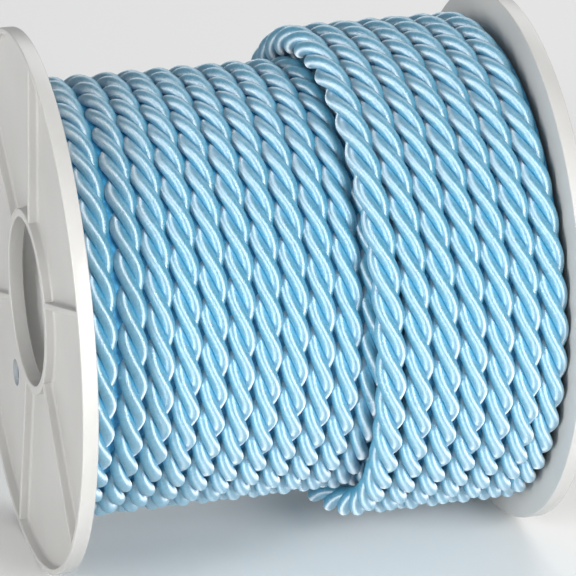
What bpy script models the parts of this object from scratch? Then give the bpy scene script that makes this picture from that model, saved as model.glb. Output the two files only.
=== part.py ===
"""Spool of three-strand twisted cord: ribbed plastic flanges, a plain barrel and the wound cord.

The spool lies on the rims of its flanges with its axis along X.  The origin is under
the middle of the spool, on the surface that it rests on.  Lengths are in metres.
"""

import math

import bmesh
import bpy
from mathutils import Matrix, Vector

MM = 0.001

# Flange, measured from the spool's middle plane outward along its axis
FLANGE_RADIUS = 44.5 * MM
FLANGE_INNER_FACE = 38.8 * MM
FLANGE_OUTER_FACE = 41.3 * MM
FLANGE_DISH = 0.6 * MM
WEB_THICKNESS = 0.8 * MM
RIM_WALL = 1.0 * MM
BORE_RADIUS = 13.8 * MM
HUB_WALL = 1.4 * MM
EDGE_CHAMFER = 0.2 * MM
FLANGE_SEGMENTS = 72

# Ribs on the flange's outer face
RIB_COUNT = 6
RIB_THICKNESS = 1.0 * MM
RIB_SETBACK = 0.1 * MM
RIB_PHASE = math.radians(161.5)

# Hole in the web that takes the cord's end
CORD_HOLE_DIAMETER = 4.6 * MM
CORD_HOLE_RADIUS_OUT = 26.5 * MM
CORD_HOLE_ANGLE = RIB_PHASE + math.radians(150.0)

# Flat spot under each flange, wide enough to stand still
REST_FLAT_HALF_WIDTH = 5.0 * MM

# Barrel between the flanges
BARREL_OUTER_RADIUS = 18.5 * MM
BARREL_INNER_RADIUS = 16.5 * MM
BARREL_SEGMENTS = 48

# Wound cord.  Angles run about the axis from +Y toward +Z, and the front is where they are marked
CLEARANCE = 0.3 * MM
CORD_DIAMETER = 4.7 * MM
FRONT_ANGLE = math.radians(158.0)
WINDING_COLUMNS = 40
POINTS_PER_TURN = 4

# Lower layer: a full one, whose turns move back toward -X as the angle grows
LOWER_TURN_RADIUS = 33.5 * MM
LOWER_PITCH = 4.3 * MM
LOWER_FIRST_GAP = -32.75 * MM
LOWER_SEAM = math.radians(252.0)

# Upper layer: over the right half, its turns moving toward +X, its outer end behind the top
UPPER_TURN_RADIUS = 38.1 * MM
UPPER_PITCH = 4.48 * MM
UPPER_FIRST_EDGE = 6.6 * MM
UPPER_SEAM = math.radians(25.0)
UPPER_INNER_RADIUS = 32.3 * MM

# Stray of the upper layer's outermost turn toward -X: at the cord's end and behind the bottom
END_STRAY = 6.0 * MM
END_STRAY_SPAN = math.radians(75.0)
BOTTOM_STRAY = 6.5 * MM
BOTTOM_STRAY_MIDDLE = math.radians(280.0)
BOTTOM_STRAY_REACH = math.radians(80.0)

# Height of the axis over the surface, which follows from the flats
AXIS_HEIGHT = math.sqrt(FLANGE_RADIUS ** 2 - REST_FLAT_HALF_WIDTH ** 2)


def dished(radius):
    """Axial shift inward of the flange's web at a radius: none at the rim, most at the bore."""
    return FLANGE_DISH * (FLANGE_RADIUS - radius) / (FLANGE_RADIUS - BORE_RADIUS)


def clear_scene():
    """Remove whatever the file holds at the start."""
    for item in list(bpy.data.objects):
        bpy.data.objects.remove(item, do_unlink=True)


def plastic(name, colour, roughness):
    """Make a moulded plastic material."""
    material = bpy.data.materials.new(name)
    material.use_nodes = True
    shader = material.node_tree.nodes["Principled BSDF"]
    shader.inputs["Base Color"].default_value = (*colour, 1.0)
    shader.inputs["Roughness"].default_value = roughness
    shader.inputs["Metallic"].default_value = 0.0
    return material


def satin_cord():
    """Make the cord's satin material."""
    material = plastic("sky_blue_satin_cord", (0.13, 0.46, 0.72), 0.38)
    shader = material.node_tree.nodes["Principled BSDF"]
    shader.inputs["Sheen Weight"].default_value = 0.4
    return material


def new_object(name, bm, material=None, parent=None):
    """Turn a bmesh into a named object, smooth on its round faces and crisp at its edges."""
    mesh = bpy.data.meshes.new(name)
    bm.to_mesh(mesh)
    bm.free()
    mesh.shade_smooth()
    mesh.set_sharp_from_angle(angle=math.radians(32.0))
    obj = bpy.data.objects.new(name, mesh)
    bpy.context.scene.collection.objects.link(obj)
    if material is not None:
        mesh.materials.append(material)
    if parent is not None:
        obj.parent = parent
    return obj


def turned(profile, segments):
    """Turn a closed profile of (radius, axial place) points about the X axis."""
    bm = bmesh.new()
    ring = [bm.verts.new((axial, radius, 0.0)) for radius, axial in profile]
    edges = [bm.edges.new((ring[i], ring[(i + 1) % len(ring)])) for i in range(len(ring))]
    bmesh.ops.spin(
        bm,
        geom=ring + edges,
        cent=(0.0, 0.0, 0.0),
        axis=(1.0, 0.0, 0.0),
        angle=math.tau,
        steps=segments,
        use_merge=True,
    )
    bmesh.ops.remove_doubles(bm, verts=bm.verts, dist=1e-6)
    bmesh.ops.recalc_face_normals(bm, faces=bm.faces)
    return bm


def guide(name, bm, parent):
    """Make a shape that only cuts or joins another and isn't itself a piece."""
    obj = new_object(name, bm, parent=parent)
    obj.hide_render = True
    obj.display_type = "WIRE"
    return obj


def add_boolean(obj, other, operation):
    """Join another shape to an object, or cut it out."""
    modifier = obj.modifiers.new(f"{operation.lower()}_{other.name}", "BOOLEAN")
    modifier.operation = operation
    modifier.solver = "EXACT"
    modifier.object = other


def flange_profile():
    """List the flange's turned section as (radius, axial place), counter to the hub's bore."""
    c = EDGE_CHAMFER
    hub_outer = BORE_RADIUS + HUB_WALL
    rim_inner = FLANGE_RADIUS - RIM_WALL
    inner_at_bore = FLANGE_INNER_FACE - FLANGE_DISH
    hub_end = FLANGE_OUTER_FACE - FLANGE_DISH
    web_at_rim = FLANGE_INNER_FACE + WEB_THICKNESS - dished(rim_inner)
    web_at_hub = FLANGE_INNER_FACE + WEB_THICKNESS - dished(hub_outer)
    return [
        (BORE_RADIUS, inner_at_bore),
        (FLANGE_RADIUS - c, FLANGE_INNER_FACE),
        (FLANGE_RADIUS, FLANGE_INNER_FACE + c),
        (FLANGE_RADIUS, FLANGE_OUTER_FACE - c),
        (FLANGE_RADIUS - c, FLANGE_OUTER_FACE),
        (rim_inner + c, FLANGE_OUTER_FACE),
        (rim_inner, FLANGE_OUTER_FACE - c),
        (rim_inner, web_at_rim),
        (hub_outer, web_at_hub),
        (hub_outer, hub_end - c),
        (hub_outer - c, hub_end),
        (BORE_RADIUS + c, hub_end),
        (BORE_RADIUS, hub_end - c),
    ]


def rib_shapes():
    """Make the six radial ribs, each sunk a little into the web, the hub and the rim."""
    bm = bmesh.new()
    r_in = BORE_RADIUS + 0.5 * HUB_WALL
    r_out = FLANGE_RADIUS - 0.5 * RIM_WALL
    root = FLANGE_INNER_FACE + 0.5 * WEB_THICKNESS
    top = FLANGE_OUTER_FACE - RIB_SETBACK
    for k in range(RIB_COUNT):
        made = bmesh.ops.create_cube(bm, size=1.0)["verts"]
        for vert in made:
            radius = r_out if vert.co.y > 0.0 else r_in
            axial = (top if vert.co.x > 0.0 else root) - dished(radius)
            vert.co = Vector((axial, radius, vert.co.z * RIB_THICKNESS))
        turn = Matrix.Rotation(rib_angle(k), 3, "X")
        bmesh.ops.rotate(bm, verts=made, cent=(0.0, 0.0, 0.0), matrix=turn)
    bmesh.ops.recalc_face_normals(bm, faces=bm.faces)
    return bm


def rib_angle(index):
    """Angle of a rib about the axis, from +Y toward +Z, on the flange at +X."""
    return math.pi - RIB_PHASE + index * math.tau / RIB_COUNT


def cord_hole_shape():
    """Make the round pin that cuts the hole for the cord's end."""
    bm = bmesh.new()
    bmesh.ops.create_cone(
        bm,
        cap_ends=True,
        segments=16,
        radius1=0.5 * CORD_HOLE_DIAMETER,
        radius2=0.5 * CORD_HOLE_DIAMETER,
        depth=4.0 * WEB_THICKNESS,
    )
    bmesh.ops.rotate(bm, verts=bm.verts, matrix=Matrix.Rotation(math.pi / 2.0, 3, "Y"))
    angle = math.pi - CORD_HOLE_ANGLE
    axial = FLANGE_INNER_FACE + 0.5 * WEB_THICKNESS - dished(CORD_HOLE_RADIUS_OUT)
    place = (axial, CORD_HOLE_RADIUS_OUT * math.cos(angle), CORD_HOLE_RADIUS_OUT * math.sin(angle))
    bmesh.ops.translate(bm, verts=bm.verts, vec=place)
    return bm


def rest_flat_shape():
    """Make the block that shaves the small flat under the rim."""
    bm = bmesh.new()
    bmesh.ops.create_cube(bm, size=1.0)
    depth = 2.0 * REST_FLAT_HALF_WIDTH
    bmesh.ops.scale(bm, verts=bm.verts, vec=(depth, 4.0 * REST_FLAT_HALF_WIDTH, depth))
    mid = 0.5 * (FLANGE_INNER_FACE + FLANGE_OUTER_FACE)
    bmesh.ops.translate(bm, verts=bm.verts, vec=(mid, 0.0, -AXIS_HEIGHT - 0.5 * depth))
    return bm


def make_flanges(axis, material):
    """Make the two flanges, the same moulding turned to face outward at each end."""
    for name, half_turn in (("right_flange", 0.0), ("left_flange", math.pi)):
        facing = bpy.data.objects.new(f"{name}_facing", None)
        bpy.context.scene.collection.objects.link(facing)
        facing.parent = axis
        facing.rotation_euler = (0.0, 0.0, half_turn)
        flange = new_object(name, turned(flange_profile(), FLANGE_SEGMENTS), material, facing)
        add_boolean(flange, guide(f"{name}_ribs", rib_shapes(), facing), "UNION")
        add_boolean(flange, guide(f"{name}_cord_hole", cord_hole_shape(), facing), "DIFFERENCE")
        add_boolean(flange, guide(f"{name}_rest_flat", rest_flat_shape(), facing), "DIFFERENCE")


def make_barrel(axis, material):
    """Make the tube that joins the flanges."""
    flange_face = FLANGE_INNER_FACE - dished(BARREL_OUTER_RADIUS)
    end = flange_face - CLEARANCE
    profile = [
        (BARREL_INNER_RADIUS, -end),
        (BARREL_INNER_RADIUS, end),
        (BARREL_OUTER_RADIUS, end),
        (BARREL_OUTER_RADIUS, -end),
    ]
    new_object("spool_barrel", turned(profile, BARREL_SEGMENTS), material, axis)


def turn_section(pitch):
    """List one turn's outline from valley to valley as (share of the pitch, height over its centre)."""
    radius = 0.5 * CORD_DIAMETER
    section = []
    for step in range(POINTS_PER_TURN):
        share = step / POINTS_PER_TURN
        across = (share - 0.5) * pitch
        section.append((share, math.sqrt(radius ** 2 - across ** 2)))
    return section


def outer_end_stray(angle):
    """Stray toward -X of the upper layer's outermost turn, at an angle past its seam."""
    fade = min((angle - UPPER_SEAM) / END_STRAY_SPAN, 1.0)
    at_end = END_STRAY * (1.0 - fade * fade * (3.0 - 2.0 * fade))
    reach = min(abs(angle - BOTTOM_STRAY_MIDDLE) / BOTTOM_STRAY_REACH, 1.0)
    return at_end + BOTTOM_STRAY * math.cos(0.5 * math.pi * reach) ** 2


def no_stray(angle):
    """Keep a turn in its row at every angle."""
    return 0.0


def ring_point(bm, axial, radius, angle):
    """Add a vertex at an angle about the X axis, from +Y toward +Z."""
    return bm.verts.new((axial, radius * math.cos(angle), radius * math.sin(angle)))


def winding(radii, pitch, first_edge, turns, seam, drift, stray=no_stray):
    """Build a helical layer of turns as one closed body.

    radii is the layer's inside and the middle of its turns.  first_edge is the axial place
    of the left edge at the seam.  drift is +1 where the turns move toward +X as the angle
    grows, or -1 where they move back.  stray moves the first turn alone toward -X.
    """
    inner_radius, centre_radius = radii
    bm = bmesh.new()
    section = turn_section(pitch)
    outer = []
    inner = []
    for column in range(WINDING_COLUMNS + 1):
        share = column / WINDING_COLUMNS
        angle = seam + share * math.tau
        edge = first_edge + drift * share * pitch
        line = []
        for row in range(turns * POINTS_PER_TURN + 1):
            turn, step = divmod(row, POINTS_PER_TURN)
            place, height = section[step]
            aside = stray(angle) if turn == 0 else 0.0
            axial = edge + (turn + place) * pitch - aside
            line.append(ring_point(bm, axial, centre_radius + height, angle))
        outer.append(line)
        low = ring_point(bm, edge - stray(angle), inner_radius, angle)
        high = ring_point(bm, edge + turns * pitch, inner_radius, angle)
        inner.append((low, high))
    skin_layer(bm, outer, inner)
    line_bore(bm, inner, drift)
    close_seam(bm, outer, inner, drift)
    bmesh.ops.remove_doubles(bm, verts=bm.verts, dist=1e-6)
    bmesh.ops.recalc_face_normals(bm, faces=bm.faces)
    return bm


def skin_layer(bm, outer, inner):
    """Face the outside of a helical layer and its two spiral ends."""
    for column in range(WINDING_COLUMNS):
        here, there = outer[column], outer[column + 1]
        for row in range(len(here) - 1):
            bm.faces.new((here[row], here[row + 1], there[row + 1], there[row]))
        bm.faces.new((inner[column][0], here[0], there[0], inner[column + 1][0]))
        bm.faces.new((here[-1], inner[column][1], inner[column + 1][1], there[-1]))


def line_bore(bm, inner, drift):
    """Face the inside of a helical layer, with the corners of its two end steps on the seam."""
    for column in range(WINDING_COLUMNS):
        here, there = inner[column], inner[column + 1]
        near = [here[1], here[0]]
        far = [there[0], there[1]]
        if column == 0:
            near.insert(1, inner[-1][0 if drift > 0 else 1])
        if column == WINDING_COLUMNS - 1:
            far.insert(1, inner[0][1 if drift > 0 else 0])
        bm.faces.new(near + far)


def close_seam(bm, outer, inner, drift):
    """Close the two steps, one turn wide, that a helical layer leaves at its ends."""
    n = POINTS_PER_TURN
    low, high = (0, -1) if drift > 0 else (-1, 0)
    bm.faces.new(outer[low][:n + 1] + [inner[high][0], inner[low][0]])
    bm.faces.new(outer[high][-n - 1:] + [inner[high][1], inner[low][1]])


def share_to_front(seam):
    """Share of a full turn from a seam round to the front."""
    return ((FRONT_ANGLE - seam) % math.tau) / math.tau


def lower_layer(face):
    """Build the full layer, a little longer than the room between the flanges."""
    edge = LOWER_FIRST_GAP + share_to_front(LOWER_SEAM) * LOWER_PITCH
    edge -= math.ceil((edge + face) / LOWER_PITCH) * LOWER_PITCH
    turns = math.ceil((face - edge) / LOWER_PITCH) + 1
    radii = (BARREL_OUTER_RADIUS + CLEARANCE, LOWER_TURN_RADIUS)
    return winding(radii, LOWER_PITCH, edge, turns, LOWER_SEAM, -1)


def upper_layer(face):
    """Build the shorter layer, from the cord's outer end to past the right flange's face."""
    edge = UPPER_FIRST_EDGE - share_to_front(UPPER_SEAM) * UPPER_PITCH
    turns = math.ceil((face - edge) / UPPER_PITCH)
    radii = (UPPER_INNER_RADIUS, UPPER_TURN_RADIUS)
    return winding(radii, UPPER_PITCH, edge, turns, UPPER_SEAM, 1, outer_end_stray)


def room_between_flanges(face):
    """Make the block that trims the cord where it lies against the flanges."""
    bm = bmesh.new()
    bmesh.ops.create_cube(bm, size=2.0)
    bmesh.ops.scale(bm, verts=bm.verts, vec=(face, FLANGE_RADIUS, FLANGE_RADIUS))
    return bm


def make_wound_cord(axis, material):
    """Make the cord on the barrel as one solid: its two layers, flat against the flanges."""
    face = FLANGE_INNER_FACE - dished(LOWER_TURN_RADIUS) - CLEARANCE
    cord = new_object("wound_cord", lower_layer(face), material, axis)
    add_boolean(cord, guide("upper_layer", upper_layer(face), axis), "UNION")
    add_boolean(cord, guide("room_between_flanges", room_between_flanges(face), axis), "INTERSECT")


def build():
    """Build the spool about its axis, which stands above the surface on the flanges' flats."""
    clear_scene()
    axis = bpy.data.objects.new("spool_axis", None)
    bpy.context.scene.collection.objects.link(axis)
    axis.location = (0.0, 0.0, AXIS_HEIGHT)
    white = plastic("warm_white_plastic", (0.80, 0.79, 0.75), 0.42)
    make_flanges(axis, white)
    make_barrel(axis, white)
    make_wound_cord(axis, satin_cord())


build()
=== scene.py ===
"""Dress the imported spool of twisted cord: the laid-up strands, the moulded spool, light and camera.

The spool lies on its rims with its axis along X, its front toward -Y and +Z up.  Places on the
winding are given by an angle about the axis that is none at the front line, where the spool faces
the camera, and grows down the front.  Sizes are in millimetres and meshes are in metres.
"""

import logging
import math
from dataclasses import dataclass
from enum import Enum

import bmesh
import bpy
import numpy as np
from mathutils import Matrix, Vector


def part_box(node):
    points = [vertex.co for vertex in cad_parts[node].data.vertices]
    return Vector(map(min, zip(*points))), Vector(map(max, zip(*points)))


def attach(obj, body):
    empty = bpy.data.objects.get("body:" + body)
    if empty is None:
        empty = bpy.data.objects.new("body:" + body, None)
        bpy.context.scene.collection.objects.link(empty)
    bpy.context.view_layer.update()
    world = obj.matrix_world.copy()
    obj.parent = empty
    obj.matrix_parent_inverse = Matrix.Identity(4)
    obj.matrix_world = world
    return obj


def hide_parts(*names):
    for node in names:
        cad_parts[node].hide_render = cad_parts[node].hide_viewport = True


MM = 0.001
BODY = "root"

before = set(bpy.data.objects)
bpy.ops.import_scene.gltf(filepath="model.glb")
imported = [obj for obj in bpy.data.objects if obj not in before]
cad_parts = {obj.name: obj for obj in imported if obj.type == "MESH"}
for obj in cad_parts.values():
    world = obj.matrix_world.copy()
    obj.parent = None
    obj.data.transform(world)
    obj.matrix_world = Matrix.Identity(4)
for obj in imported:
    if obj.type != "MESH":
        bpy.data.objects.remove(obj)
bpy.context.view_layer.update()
log = logging.getLogger("spool_of_cord")


class Node(Enum):
    """The CAD nodes that the dressed pieces stand for."""

    LEFT_FLANGE = "left_flange"
    RIGHT_FLANGE = "right_flange"
    BARREL = "spool_barrel"
    CORD = "wound_cord"


class Slot(Enum):
    """The record's material slots."""

    PLASTIC = "spool_plastic"
    CORD = "satin_cord"


def axis_height() -> float:
    """Work out the height of the spool's axis from the flange's box.

    Returns:
        The height in millimetres.
    """
    low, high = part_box(Node.RIGHT_FLANGE.value)
    return (high.z / MM) - FLANGE_RADIUS


FLANGE_RADIUS = 44.5
FLANGE_FACE = 38.3
FRONT_ANGLE = math.radians(157.7)
AXIS_HEIGHT = axis_height()


def link(name: str, mesh: bpy.types.Mesh) -> bpy.types.Object:
    """Put a mesh into the scene as an object at the origin.

    Args:
        name: The object's name.
        mesh: The mesh, in metres.

    Returns:
        The new object.
    """
    piece = bpy.data.objects.new(name, mesh)
    bpy.context.scene.collection.objects.link(piece)
    return piece


def mesh_object(name: str, bm: bmesh.types.BMesh) -> bpy.types.Object:
    """Turn a bmesh into an object and free the bmesh.

    Args:
        name: The name of the object and its mesh.
        bm: The shape, in metres.

    Returns:
        The new object.
    """
    mesh = bpy.data.meshes.new(name)
    bm.to_mesh(mesh)
    bm.free()
    return link(name, mesh)


def smooth(piece: bpy.types.Object, angle: float) -> None:
    """Shade a piece smooth, but for its edges over an angle.

    Args:
        piece: The piece.
        angle: The least angle of a crisp edge, in degrees.
    """
    piece.data.shade_smooth()
    piece.data.set_sharp_from_angle(angle=math.radians(angle))


def baked(piece: bpy.types.Object) -> bpy.types.Object:
    """Apply a piece's modifiers to its mesh.

    Args:
        piece: The piece with live modifiers.

    Returns:
        The same piece, with none.
    """
    graph = bpy.context.evaluated_depsgraph_get()
    mesh = bpy.data.meshes.new_from_object(piece.evaluated_get(graph))
    piece.modifiers.clear()
    piece.data = mesh
    mesh.name = piece.name
    return piece


def fit_out(piece: bpy.types.Object, slot: Slot, *nodes: Node) -> None:
    """Ride a piece on the spool's body and hide the CAD nodes that it replaces.

    Args:
        piece: The finished piece.
        slot: The slot of its finish; not used.
        nodes: The CAD nodes that it replaces.
    """
    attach(piece, BODY)
    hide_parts(*[node.value for node in nodes])
    triangles = sum(len(face.vertices) - 2 for face in piece.data.polygons)
    log.info("%s: %d triangles", piece.name, triangles)


@dataclass(frozen=True)
class Nodes:
    """A material's node tree, with a short way to add and join its nodes."""

    material: bpy.types.Material

    @classmethod
    def new(cls, name: str) -> "Nodes":
        """Start a material that has a Principled shader and its output."""
        material = bpy.data.materials.new(name)
        material.use_nodes = True
        return cls(material)

    @property
    def shader(self) -> bpy.types.Node:
        """The Principled shader."""
        return self.material.node_tree.nodes["Principled BSDF"]

    def add(self, kind: str, **settings: object) -> bpy.types.Node:
        """Add a node.

        Args:
            kind: The node's type without its ShaderNode beginning.
            settings: Properties of the node.

        Returns:
            The new node.
        """
        node = self.material.node_tree.nodes.new(f"ShaderNode{kind}")
        for key, value in settings.items():
            setattr(node, key, value)
        return node

    def join(self, source: bpy.types.NodeSocket, target: bpy.types.NodeSocket) -> None:
        """Link an output to an input."""
        self.material.node_tree.links.new(source, target)

    def feed(self, node: bpy.types.Node, **values: object) -> bpy.types.Node:
        """Set or link a node's inputs by name, with _ for a space.

        Args:
            node: The node.
            values: A socket to link, or a value to set, for each input.

        Returns:
            The same node.
        """
        for key, value in values.items():
            socket = node.inputs[key.replace("_", " ")]
            if isinstance(value, bpy.types.NodeSocket):
                self.join(value, socket)
            else:
                socket.default_value = value
        return node

    def maths(self, operation: str, *values: object) -> bpy.types.NodeSocket:
        """Add a Math node.

        Args:
            operation: The sum to work out, as Blender names it.
            values: A socket or a number for each input in turn.

        Returns:
            The result's socket.
        """
        node = self.add("Math", operation=operation)
        for socket, value in zip(node.inputs, values):
            if isinstance(value, bpy.types.NodeSocket):
                self.join(value, socket)
            else:
                socket.default_value = value
        return node.outputs[0]

    def ramp(self, factor: bpy.types.NodeSocket, *stops: tuple) -> bpy.types.NodeSocket:
        """Add a colour ramp.

        Args:
            factor: What the ramp reads.
            stops: A place and a colour of three parts for each stop.

        Returns:
            The colour's socket.
        """
        node = self.add("ValToRGB")
        marks = node.color_ramp.elements
        for index, (place, colour) in enumerate(stops):
            mark = marks[index] if index < 2 else marks.new(place)
            mark.position = place
            mark.color = (*colour, 1.0)
        self.join(factor, node.inputs["Fac"])
        return node.outputs["Color"]

    def blend(
        self, share: bpy.types.NodeSocket, first: bpy.types.NodeSocket, second: tuple
    ) -> bpy.types.NodeSocket:
        """Add a colour Mix node.

        Args:
            share: How much of the second colour there is.
            first: The colour where the share is none.
            second: The colour, of three parts, where the share is one.

        Returns:
            The colour's socket.
        """
        node = self.add("Mix", data_type="RGBA")
        colours = [socket for socket in node.inputs if socket.type == "RGBA"]
        self.join(share, node.inputs["Factor"])
        self.join(first, colours[0])
        colours[1].default_value = (*second, 1.0)
        return next(socket for socket in node.outputs if socket.type == "RGBA")


@dataclass(frozen=True)
class SatinCordFinish:
    """Strands covered with fine satin yarn, wrapped close round each strand.

    The pattern follows the strand's own UV map, in millimetres: U runs along the strand
    and V round it.  Towards the grooves between strands the blue turns brighter and more
    saturated, a painted glow in place of light through the yarn.
    """

    name: str = "sky_blue_satin"
    shade: tuple = (0.02, 0.25, 0.41)
    tint: tuple = (0.06, 0.37, 0.55)
    girth: float = 7.35
    roughness: float = 0.66
    anisotropy: float = 1.0
    index: float = 3.2
    # Painted glow: the brighter, more saturated blue laid into the grooves between strands.
    painted_groove_glow: tuple = (0.015, 0.34, 0.58)
    ripple: float = 0.3
    specular: float = 0.8
    lean: float = 0.3
    wrap_pitch: float = 0.36
    wrap_depth: float = 0.012

    def make(self) -> bpy.types.Material:
        """Build the material.

        Returns:
            The material.
        """
        n = Nodes.new(self.name)
        place = n.add("UVMap", uv_map="strand").outputs["UV"]
        split = n.feed(n.add("SeparateXYZ"), Vector=place)
        along, around = split.outputs["X"], split.outputs["Y"]
        drift = n.feed(n.add("TexNoise"), Vector=place, Scale=0.9, Detail=2.0)
        slip = n.maths("MULTIPLY", drift.outputs["Fac"], 1.6)
        lean = n.maths("MULTIPLY", around, -self.lean)
        phase = n.maths("ADD", n.maths("ADD", along, slip), lean)
        wraps = n.maths("SINE", n.maths("MULTIPLY", phase, math.tau / self.wrap_pitch))
        stretch = n.feed(n.add("Mapping"), Vector=place, Scale=(3.2, 0.7, 1.0))
        bundles = n.feed(n.add("TexNoise"), Vector=stretch.outputs["Vector"], Scale=1.0, Detail=3.0)
        height = n.maths("MULTIPLY_ADD", bundles.outputs["Fac"], 9.0, wraps)
        bump = n.feed(n.add("Bump"), Strength=0.6, Distance=self.wrap_depth * MM, Height=height)
        yarn = n.ramp(bundles.outputs["Fac"], (0.3, self.shade), (0.7, self.tint))
        # Towards each strand's sides, where it meets its neighbours, the colour blends to the painted
        # glow: a brighter blue that offsets the grooves' shade.
        crest = n.maths("COSINE", n.maths("MULTIPLY", around, math.tau / self.girth))
        depth = n.feed(n.add("MapRange"), Value=crest, From_Min=0.4, From_Max=-0.65)
        colour = n.blend(depth.outputs["Result"], yarn, self.painted_groove_glow)
        ripple = n.maths("MULTIPLY", n.maths("MULTIPLY", wraps, bundles.outputs["Fac"]), self.ripple)
        tangent = n.add("Tangent", direction_type="UV_MAP", uv_map="strand")
        n.feed(
            n.shader,
            Base_Color=colour,
            Roughness=n.maths("SUBTRACT", self.roughness, ripple),
            Metallic=0.0,
            Anisotropic=self.anisotropy,
            Tangent=tangent.outputs["Tangent"],
            Normal=bump.outputs["Normal"],
        )
        n.feed(n.shader, IOR=self.index, Specular_IOR_Level=self.specular)
        n.feed(n.shader, Sheen_Weight=0.08, Sheen_Roughness=0.5)
        return n.material


@dataclass(frozen=True)
class CordShadowFinish:
    """The deep blue of cord that lies under the turns and only shows in the gaps."""

    name: str = "deep_blue_cord"
    shade: tuple = (0.02, 0.22, 0.44)
    tint: tuple = (0.06, 0.36, 0.62)

    def make(self) -> bpy.types.Material:
        """Build the material.

        Returns:
            The material.
        """
        n = Nodes.new(self.name)
        place = n.add("TexCoord").outputs["Object"]
        noise = n.feed(n.add("TexNoise"), Vector=place, Scale=900.0, Detail=3.0)
        colour = n.ramp(noise.outputs["Fac"], (0.35, self.shade), (0.65, self.tint))
        bump = n.feed(n.add("Bump"), Strength=0.5, Distance=0.2 * MM, Height=noise.outputs["Fac"])
        n.feed(n.shader, Base_Color=colour, Roughness=0.6, Normal=bump.outputs["Normal"])
        return n.material


@dataclass(frozen=True)
class MouldedPlasticFinish:
    """Warm white moulded plastic with a soft gloss and faint unevenness."""

    name: str = "warm_white_plastic"
    shade: tuple = (0.47, 0.465, 0.45)
    tint: tuple = (0.52, 0.515, 0.50)
    roughness: float = 0.36

    def make(self) -> bpy.types.Material:
        """Build the material.

        Returns:
            The material.
        """
        n = Nodes.new(self.name)
        place = n.add("TexCoord").outputs["Object"]
        clouds = n.feed(n.add("TexNoise"), Vector=place, Scale=60.0, Detail=3.0)
        grain = n.feed(n.add("TexNoise"), Vector=place, Scale=2600.0, Detail=2.0)
        colour = n.ramp(clouds.outputs["Fac"], (0.3, self.shade), (0.7, self.tint))
        rough = n.maths("MULTIPLY_ADD", clouds.outputs["Fac"], 0.14, self.roughness - 0.07)
        height = n.maths("MULTIPLY_ADD", clouds.outputs["Fac"], 6.0, grain.outputs["Fac"])
        bump = n.feed(n.add("Bump"), Strength=0.25, Distance=0.02 * MM, Height=height)
        n.feed(n.shader, Base_Color=colour, Roughness=rough, Normal=bump.outputs["Normal"])
        n.feed(n.shader, Subsurface_Weight=0.12, Subsurface_Scale=1.5 * MM, IOR=1.5)
        n.shader.inputs["Subsurface Radius"].default_value = (1.0, 0.9, 0.75)
        return n.material


def ridge(places: np.ndarray, middle: float, reach: float) -> np.ndarray:
    """Give a soft bump that is one at its middle and none past its reach.

    Args:
        places: Where to read it.
        middle: The place of its top.
        reach: How far it runs to each side.

    Returns:
        The bump's height at each place.
    """
    share = np.clip(np.abs(places - middle) / reach, 0.0, 1.0)
    return np.cos(0.5 * math.pi * share) ** 2


def ease(places: np.ndarray, start: float, end: float) -> np.ndarray:
    """Go softly from none at the start to one at the end.

    Args:
        places: Where to read it.
        start: Where it leaves none.
        end: Where it reaches one.

    Returns:
        The share at each place.
    """
    share = np.clip((places - start) / (end - start), 0.0, 1.0)
    return share * share * (3.0 - 2.0 * share)


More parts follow.
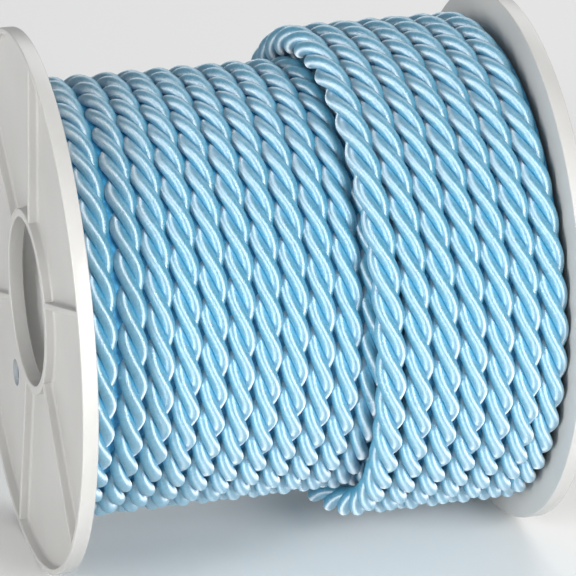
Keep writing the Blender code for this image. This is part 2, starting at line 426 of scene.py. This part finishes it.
@dataclass
class CordLayer:
    """One layer of turns of the three-strand cord.

    A place on the cord is a count of turns, whole at the front line.  Turns count from the
    left, and where the count grows, the cord runs down the front in a layer with a heading
    of 1 and up it in one with a heading of -1.
    """

    name: str
    heading: int
    turn_radius: float
    first_edge: float
    pitch: float
    first: float
    last: float
    strand_place: float
    lay_length: float
    front_drift: float = 0.85
    first_stray: float = 0.0
    strand_depth: float = 1.17
    strand_width: float = 1.13
    strand_reach: float = 1.29
    cord_diameter: float = 4.35
    lift: float = 0.0
    start_dive: float = 0.0
    end_dive: float = 0.0
    dive_turns: float = 0.45
    step: float = 0.8
    sides: int = 14

    def axial(self, turns: np.ndarray) -> np.ndarray:
        """Work out the place along the axis at a count of turns.

        The turns are evenly spaced from the layer's left edge, and the first one may lie a
        little nearer to the flange.
        """
        middle = self.first_edge + (turns + 0.5) * self.pitch
        sway = self.front_drift * self.pitch / math.tau * np.sin(math.tau * turns)
        stray = self.first_stray * ridge(turns, 0.0, 1.0)
        room = FLANGE_FACE - 0.5 * self.cord_diameter
        return np.clip(middle + sway - stray, -room, room)

    def radius(self, turns: np.ndarray) -> np.ndarray:
        """Work out the distance of the cord's middle from the axis.

        Beside a flange the cord comes up from the layer beneath, so an end may dive.
        """
        risen = ease(turns, self.first, self.first + self.dive_turns)
        sunk = ease(turns, self.last - self.dive_turns, self.last)
        return self.turn_radius - self.start_dive * (1.0 - risen) - self.end_dive * sunk

    def angle(self, turns: np.ndarray) -> np.ndarray:
        """Work out the angle about the axis, from +Y toward +Z, at a count of turns."""
        return FRONT_ANGLE + self.heading * math.tau * turns

    def twist(self, turns: np.ndarray) -> np.ndarray:
        """Work out how far the cord's strands have turned round each other.

        The lay is the same all along, and on the first turn a strand lies outermost at its
        place below the front line.
        """
        along = self.heading * math.tau * self.turn_radius * turns
        return (along - self.strand_place) * math.tau / self.lay_length

    def outward(self, turns: np.ndarray) -> np.ndarray:
        """Give the direction away from the axis."""
        angle = self.angle(turns)
        return np.stack([np.zeros_like(angle), np.cos(angle), np.sin(angle)], axis=-1)

    def route(self, turns: np.ndarray) -> np.ndarray:
        """Give the cord's middle line, in millimetres from the spool's middle."""
        line = self.radius(turns)[:, None] * self.outward(turns)
        line[:, 0] = self.axial(turns)
        raised = FRONT_ANGLE - 0.5 * math.pi
        line += self.lift * np.array([0.0, math.cos(raised), math.sin(raised)])
        return line

    def away(self, turns: np.ndarray, index: int) -> np.ndarray:
        """Give the direction from the cord's middle to one of its three strands."""
        turned = self.twist(turns) + index * math.tau / 3.0
        way = np.cos(turned)[:, None] * self.outward(turns)
        way[:, 0] = np.sin(turned)
        return way

    def strand_line(self, turns: np.ndarray, index: int) -> np.ndarray:
        """Give the middle line of one of the three strands."""
        offset = self.strand_reach * self.away(turns, index)
        offset[:, 0] *= self.pitch / self.cord_diameter
        return self.route(turns) + offset

    def fullness(self, turns: np.ndarray) -> np.ndarray:
        """Give the strand's thickness as a share, which draws in to a round tip at both ends."""
        per_turn = math.tau * self.turn_radius
        left = np.minimum(turns - self.first, self.last - turns) * per_turn
        share = np.clip(left / self.strand_depth, 0.02, 1.0)
        return np.sqrt(share * (2.0 - share))

    def build_strand(self, index: int) -> bpy.types.Object:
        """Roll a long sheet of faces up into one strand and lay it along its line.

        Args:
            index: Which of the three strands.

        Returns:
            The strand.
        """
        per_turn = math.tau * self.turn_radius
        rings = int((self.last - self.first) * per_turn / self.step)
        turns = np.linspace(self.first, self.last, rings + 1)
        line = self.strand_line(turns, index)
        ahead = np.gradient(line, axis=0)
        lengths = np.linalg.norm(ahead, axis=1)
        ahead /= lengths[:, None]
        run = np.concatenate([[0.0], np.cumsum(0.5 * (lengths[1:] + lengths[:-1]))])
        up = self.away(turns, index)
        up -= np.sum(up * ahead, axis=1)[:, None] * ahead
        up /= np.linalg.norm(up, axis=1)[:, None]
        side = np.cross(ahead, up) * (self.strand_width * self.fullness(turns))[:, None]
        up *= (self.strand_depth * self.fullness(turns))[:, None]

        bm = bmesh.new()
        bmesh.ops.create_grid(bm, x_segments=self.sides, y_segments=rings, size=1.0)
        bm.verts.ensure_lookup_table()
        layer = bm.loops.layers.uv.new("strand")
        count = self.sides + 1
        for place, vert in enumerate(bm.verts):
            ring, spoke = divmod(place, count)
            turn = math.tau * spoke / self.sides
            spot = line[ring] + math.cos(turn) * up[ring] + math.sin(turn) * side[ring]
            vert.co = (spot[0] * MM, spot[1] * MM, (spot[2] + AXIS_HEIGHT) * MM)
        for face in bm.faces:
            for loop in face.loops:
                ring, spoke = divmod(loop.vert.index, count)
                loop[layer].uv = (run[ring], spoke / self.sides * math.tau * self.strand_depth)
        bmesh.ops.remove_doubles(bm, verts=bm.verts, dist=1e-7)
        bmesh.ops.holes_fill(bm, edges=[e for e in bm.edges if e.is_boundary], sides=0)
        bmesh.ops.recalc_face_normals(bm, faces=bm.faces)
        strand = mesh_object(f"{self.name}_strand_{index + 1}", bm)
        strand.data.shade_smooth()
        return strand

    def build(self, finish: bpy.types.Material) -> None:
        """Build and fit out the layer's three strands."""
        for index in range(3):
            strand = self.build_strand(index)
            strand.data.materials.append(finish)
            fit_out(strand, Slot.CORD, Node.CORD)


@dataclass
class OuterLayer(CordLayer):
    """The part layer on top, whose first turn lies loose under the spool."""

    bottom_stray: float = 4.0

    def axial(self, turns: np.ndarray) -> np.ndarray:
        """Work out the place along the axis, with the first turn's stray to the left."""
        return super().axial(turns) - self.bottom_stray * ridge(turns, 0.36, 0.15)


@dataclass
class UnderTurns:
    """The ridged drum of cord that the visible turns lie on and that fills the gaps."""

    reach: float = 38.0
    lower_radius: float = 33.7
    upper_radius: float = 38.1
    upper_start: float = 13.0
    bore_radius: float = 18.8
    ridge_height: float = 0.5
    pitch: float = 4.3
    segments: int = 96

    def profile(self) -> list:
        """List the drum's section as (place along the axis, radius) points."""
        points = []
        steps = 4
        count = int(2.0 * self.reach / self.pitch * steps)
        for index in range(count + 1):
            axial = -self.reach + 2.0 * self.reach * index / count
            base = self.upper_radius if axial > self.upper_start else self.lower_radius
            wave = abs(math.sin(math.pi * index / steps))
            points.append((axial, base + self.ridge_height * (wave - 1.0)))
        return [(-self.reach, self.bore_radius)] + points + [(self.reach, self.bore_radius)]

    def build(self, finish: bpy.types.Material) -> None:
        """Turn the drum and fit it out."""
        bm = lathe(self.profile(), self.segments)
        drum = mesh_object("cord_under_turns", bm)
        smooth(drum, 40.0)
        drum.data.materials.append(finish)
        fit_out(drum, Slot.CORD, Node.CORD)


def lathe(profile: list, segments: int) -> bmesh.types.BMesh:
    """Turn a closed section about the spool's axis.

    Args:
        profile: The section's (place along the axis, radius) points, in millimetres.
        segments: The number of steps round the axis.

    Returns:
        The turned shape, in metres, at the spool's height.
    """
    bm = bmesh.new()
    ring = [bm.verts.new((axial * MM, 0.0, radius * MM)) for axial, radius in profile]
    edges = [bm.edges.new((ring[i - 1], ring[i])) for i in range(len(ring))]
    bmesh.ops.spin(
        bm,
        geom=ring + edges,
        cent=(0.0, 0.0, 0.0),
        axis=(1.0, 0.0, 0.0),
        angle=math.tau,
        steps=segments,
        use_merge=True,
    )
    bmesh.ops.remove_doubles(bm, verts=bm.verts, dist=1e-7)
    bmesh.ops.recalc_face_normals(bm, faces=bm.faces)
    bmesh.ops.translate(bm, verts=bm.verts, vec=(0.0, 0.0, AXIS_HEIGHT * MM))
    return bm


@dataclass
class Flange:
    """One end of the spool: a dished web with a rim, a hub ring and six ribs outside."""

    radius: float = 44.5
    inner_face: float = 38.8
    outer_face: float = 41.3
    dish: float = 0.6
    web: float = 0.8
    rim_wall: float = 1.0
    bore_radius: float = 13.8
    hub_wall: float = 1.4
    rib_count: int = 6
    rib_thickness: float = 1.0
    rib_setback: float = 0.1
    rib_phase: float = 161.5
    hole_diameter: float = 4.6
    hole_radius_out: float = 26.5
    hole_angle: float = 311.5
    edge_radius: float = 0.22
    fillet: float = 0.5
    segments: int = 180

    def dished(self, radius: float) -> float:
        """Give how far inward the web lies at a radius, in millimetres."""
        return self.dish * (self.radius - radius) / (self.radius - self.bore_radius)

    def arc(self, centre: tuple, radius: float, start: float, end: float) -> list:
        """List points of an arc in the section.

        Args:
            centre: Its centre, as (place along the axis, radius).
            radius: The arc's own radius.
            start: The angle of its first point, in degrees, from the axis outward.
            end: The angle of its last point.

        Returns:
            The points, four steps of them.
        """
        points = []
        for index in range(5):
            angle = math.radians(start + (end - start) * index / 4)
            points.append((centre[0] + radius * math.cos(angle), centre[1] + radius * math.sin(angle)))
        return points

    def profile(self) -> list:
        """List the flange's turned section for the end at +X."""
        e, f = self.edge_radius, self.fillet
        hub_outer = self.bore_radius + self.hub_wall
        rim_inner = self.radius - self.rim_wall
        hub_end = self.outer_face - self.dish
        web_rim = self.inner_face + self.web - self.dished(rim_inner)
        web_hub = self.inner_face + self.web - self.dished(hub_outer)
        inner_bore = self.inner_face - self.dish
        points = [(inner_bore, self.bore_radius + e)]
        points += self.arc((self.inner_face + e, self.radius - e), e, 180.0, 90.0)
        points += self.arc((self.outer_face - e, self.radius - e), e, 90.0, 0.0)
        points += self.arc((self.outer_face - e, rim_inner + e), e, 0.0, -90.0)
        points += self.arc((web_rim + f, rim_inner - f), f, 90.0, 180.0)
        points += self.arc((web_hub + f, hub_outer + f), f, 180.0, 270.0)
        points += self.arc((hub_end - e, hub_outer - e), e, 90.0, 0.0)
        points += self.arc((hub_end - e, self.bore_radius + e), e, 0.0, -90.0)
        points += self.arc((inner_bore + e, self.bore_radius + e), e, 270.0, 180.0)[:-1]
        return points

    def rib(self, index: int) -> bmesh.types.BMesh:
        """Make one rib with a filleted root and softened top edges, drawn from hub to rim."""
        half = 0.5 * self.rib_thickness
        f, e = self.fillet, self.edge_radius
        web_top = self.inner_face + self.web
        top = self.outer_face - self.rib_setback
        side = [(-half - f, web_top - 0.5 * self.web)]
        side += [(-p[1], p[0]) for p in self.arc((web_top + f, half + f), f, 180.0, 270.0)]
        side += [(-p[1], p[0]) for p in self.arc((top - e, half - e), e, 90.0, 0.0)]
        outline = side + [(-across, axial) for across, axial in reversed(side)]
        bm = bmesh.new()
        r_in = self.bore_radius + 0.5 * self.hub_wall
        r_out = self.radius - 0.5 * self.rim_wall
        ring = [bm.verts.new((axial - self.dished(r_in), across, r_in)) for across, axial in outline]
        start = bm.faces.new(ring)
        grown = bmesh.ops.extrude_face_region(bm, geom=[start])
        moved = [item for item in grown["geom"] if isinstance(item, bmesh.types.BMVert)]
        outward = (self.dished(r_in) - self.dished(r_out), 0.0, r_out - r_in)
        bmesh.ops.translate(bm, verts=moved, vec=outward)
        bmesh.ops.recalc_face_normals(bm, faces=bm.faces)
        angle = math.radians(180.0 - self.rib_phase + index * 360.0 / self.rib_count)
        turn = Matrix.Rotation(angle - math.pi / 2.0, 4, "X")
        bmesh.ops.transform(bm, matrix=turn, verts=bm.verts)
        return bm

    def place(self, bm: bmesh.types.BMesh) -> bmesh.types.BMesh:
        """Scale a shape to metres and lift it to the spool's axis."""
        bmesh.ops.scale(bm, vec=(MM, MM, MM), verts=bm.verts)
        bmesh.ops.translate(bm, vec=(0.0, 0.0, AXIS_HEIGHT * MM), verts=bm.verts)
        return bm

    def ribs(self) -> bpy.types.Object:
        """Join the ribs into one helper shape."""
        joined = bmesh.new()
        for index in range(self.rib_count):
            single = bpy.data.meshes.new("rib")
            bm = self.place(self.rib(index))
            bm.to_mesh(single)
            bm.free()
            joined.from_mesh(single)
            bpy.data.meshes.remove(single)
        return mesh_object("rib_helper", joined)

    def hole(self) -> bpy.types.Object:
        """Make the pin that cuts the hole for the cord's end."""
        bm = bmesh.new()
        bmesh.ops.create_cone(
            bm,
            cap_ends=True,
            segments=48,
            radius1=0.5 * self.hole_diameter,
            radius2=0.5 * self.hole_diameter,
            depth=4.0 * self.web,
        )
        bmesh.ops.rotate(bm, verts=bm.verts, matrix=Matrix.Rotation(math.pi / 2.0, 3, "Y"))
        angle = math.radians(180.0 - self.hole_angle)
        axial = self.inner_face + 0.5 * self.web - self.dished(self.hole_radius_out)
        across = self.hole_radius_out * math.cos(angle)
        up = self.hole_radius_out * math.sin(angle)
        bmesh.ops.translate(bm, verts=bm.verts, vec=(axial, across, up))
        return mesh_object("hole_helper", self.place(bm))

    def ground(self) -> bpy.types.Object:
        """Make the block that shaves the small flat under the rim."""
        bm = bmesh.new()
        bmesh.ops.create_cube(bm, size=1.0)
        bmesh.ops.scale(bm, verts=bm.verts, vec=(0.1, 0.1, 0.01))
        bmesh.ops.translate(bm, verts=bm.verts, vec=(0.0, 0.0, -0.005))
        return mesh_object("ground_helper", bm)

    def mould(self) -> bpy.types.Mesh:
        """Mould the flange for the end at +X.

        Returns:
            Its mesh, in metres.
        """
        body = mesh_object("flange_helper", lathe(self.profile(), self.segments))
        helpers = ((self.ribs(), "UNION"), (self.hole(), "DIFFERENCE"), (self.ground(), "DIFFERENCE"))
        for helper, operation in helpers:
            boolean = body.modifiers.new(helper.name, "BOOLEAN")
            boolean.operation = operation
            boolean.solver = "EXACT"
            boolean.object = helper
        baked(body)
        mesh = body.data
        for item in (body, *[helper for helper, operation in helpers]):
            bpy.data.objects.remove(item)
        return mesh

    def build(self, finish: bpy.types.Material) -> None:
        """Build both flanges from the one moulding, each facing outward."""
        right = self.mould()
        right.name = "right_flange_moulding"
        left = right.copy()
        left.name = "left_flange_moulding"
        left.transform(Matrix.Rotation(math.pi, 4, "Z"))
        for mesh, node in ((left, Node.LEFT_FLANGE), (right, Node.RIGHT_FLANGE)):
            piece = link(mesh.name, mesh)
            smooth(piece, 35.0)
            mesh.materials.clear()
            mesh.materials.append(finish)
            fit_out(piece, Slot.PLASTIC, node)


@dataclass
class Barrel:
    """The tube between the flanges, seen only through the bore."""

    outer_radius: float = 18.5
    inner_radius: float = 16.5
    reach: float = 37.99
    edge: float = 0.3
    segments: int = 120

    def build(self, finish: bpy.types.Material) -> None:
        """Turn the tube and fit it out."""
        corners = [
            (-self.reach, self.inner_radius),
            (self.reach, self.inner_radius),
            (self.reach, self.outer_radius),
            (-self.reach, self.outer_radius),
        ]
        tube = mesh_object("barrel_tube", lathe(corners, self.segments))
        smooth(tube, 35.0)
        tube.data.materials.append(finish)
        fit_out(tube, Slot.PLASTIC, Node.BARREL)


@dataclass(frozen=True)
class Studio:
    """A pale floor, soft lamps and the level, distant camera."""

    camera_place: tuple = (-148.42, -539.93, 221.02)
    heading: float = 15.71
    dip: float = 21.72
    lens: float = 228.06
    lamp_distance: float = 700.0

    def looking(self) -> Vector:
        """Give the direction in which the camera looks."""
        a, d = math.radians(self.heading), math.radians(self.dip)
        return Vector((math.sin(a) * math.cos(d), math.cos(a) * math.cos(d), -math.sin(d)))

    def camera(self) -> None:
        """Set up the camera."""
        data = bpy.data.cameras.new("camera")
        data.lens = self.lens
        data.sensor_width = 36.0
        data.clip_start = 0.01
        data.clip_end = 20.0
        camera = bpy.data.objects.new("camera", data)
        x, y, z = self.camera_place
        camera.location = (x * MM, y * MM, (z + AXIS_HEIGHT) * MM)
        camera.rotation_euler = self.looking().to_track_quat("-Z", "Y").to_euler()
        bpy.context.scene.collection.objects.link(camera)
        bpy.context.scene.camera = camera

    def lamp(self, name: str, aside: float, above: float, size: tuple, watts: float) -> None:
        """Hang a soft lamp that points at the spool.

        Args:
            name: The lamp's name.
            aside: Its angle to the right of the camera, in degrees.
            above: Its angle above level, in degrees.
            size: Its width and height, in millimetres.
            watts: Its power.
        """
        a = math.radians(self.heading - aside)
        u = math.radians(above)
        way = Vector((-math.sin(a) * math.cos(u), -math.cos(a) * math.cos(u), math.sin(u)))
        data = bpy.data.lights.new(name, "AREA")
        data.shape = "RECTANGLE"
        data.size = size[0] * MM
        data.size_y = size[1] * MM
        data.energy = watts
        lamp = bpy.data.objects.new(name, data)
        middle = Vector((0.0, 0.0, AXIS_HEIGHT * MM))
        lamp.location = middle + way * self.lamp_distance * MM
        lamp.rotation_euler = way.to_track_quat("Z", "Y").to_euler()
        bpy.context.scene.collection.objects.link(lamp)

    def floor(self) -> None:
        """Lay the pale floor."""
        bm = bmesh.new()
        bmesh.ops.create_grid(bm, x_segments=1, y_segments=1, size=3.0)
        floor = mesh_object("floor", bm)
        n = Nodes.new("pale_floor")
        n.feed(n.shader, Base_Color=(0.82, 0.82, 0.81, 1.0), Roughness=0.8)
        floor.data.materials.append(n.material)

    def world(self) -> None:
        """Give the room a soft, even light."""
        world = bpy.data.worlds.new("room")
        world.use_nodes = True
        back = world.node_tree.nodes["Background"]
        back.inputs["Color"].default_value = (0.95, 0.97, 1.0, 1.0)
        back.inputs["Strength"].default_value = 0.22
        bpy.context.scene.world = world

    def build(self) -> None:
        """Set up the whole studio."""
        self.camera()
        self.floor()
        self.world()
        self.lamp("left_lamp", -38.0, 14.0, (120.0, 380.0), 3.7)
        self.lamp("right_lamp", 34.0, 15.0, (220.0, 380.0), 5.0)
        self.lamp("back_lamp", 172.0, 42.0, (600.0, 400.0), 2.4)
        bpy.context.scene.view_settings.view_transform = "Standard"


LOWER = CordLayer(
    name="lower_layer",
    heading=-1,
    turn_radius=33.5,
    first_edge=-36.9,
    pitch=4.32,
    first=-0.9,
    last=11.4,
    strand_place=-3.1,
    lay_length=17.29,
    first_stray=0.5,
    start_dive=4.2,
)
UPPER = OuterLayer(
    name="upper_layer",
    heading=1,
    turn_radius=38.5,
    first_edge=6.6,
    pitch=4.48,
    first=-0.3686,
    last=6.9,
    strand_place=-1.2,
    lay_length=17.48,
    end_dive=4.2,
    lift=0.1,
)


def main() -> None:
    """Build the pieces in order."""
    logging.basicConfig(level=logging.INFO, format="%(name)s: %(message)s")
    plastic = MouldedPlasticFinish().make()
    # The tube gets a much brighter copy of the flange plastic: painted light, so the inside of the
    # bore reads as lit.
    painted_light_tube_finish = MouldedPlasticFinish("tube_plastic_painted_light", (0.78, 0.775, 0.76), (0.84, 0.835, 0.82))
    satin = SatinCordFinish().make()
    shadow = CordShadowFinish().make()
    Flange().build(plastic)
    Barrel().build(painted_light_tube_finish.make())
    UnderTurns().build(shadow)
    LOWER.build(satin)
    UPPER.build(satin)
    Studio().build()


if __name__ == "__main__":
    main()
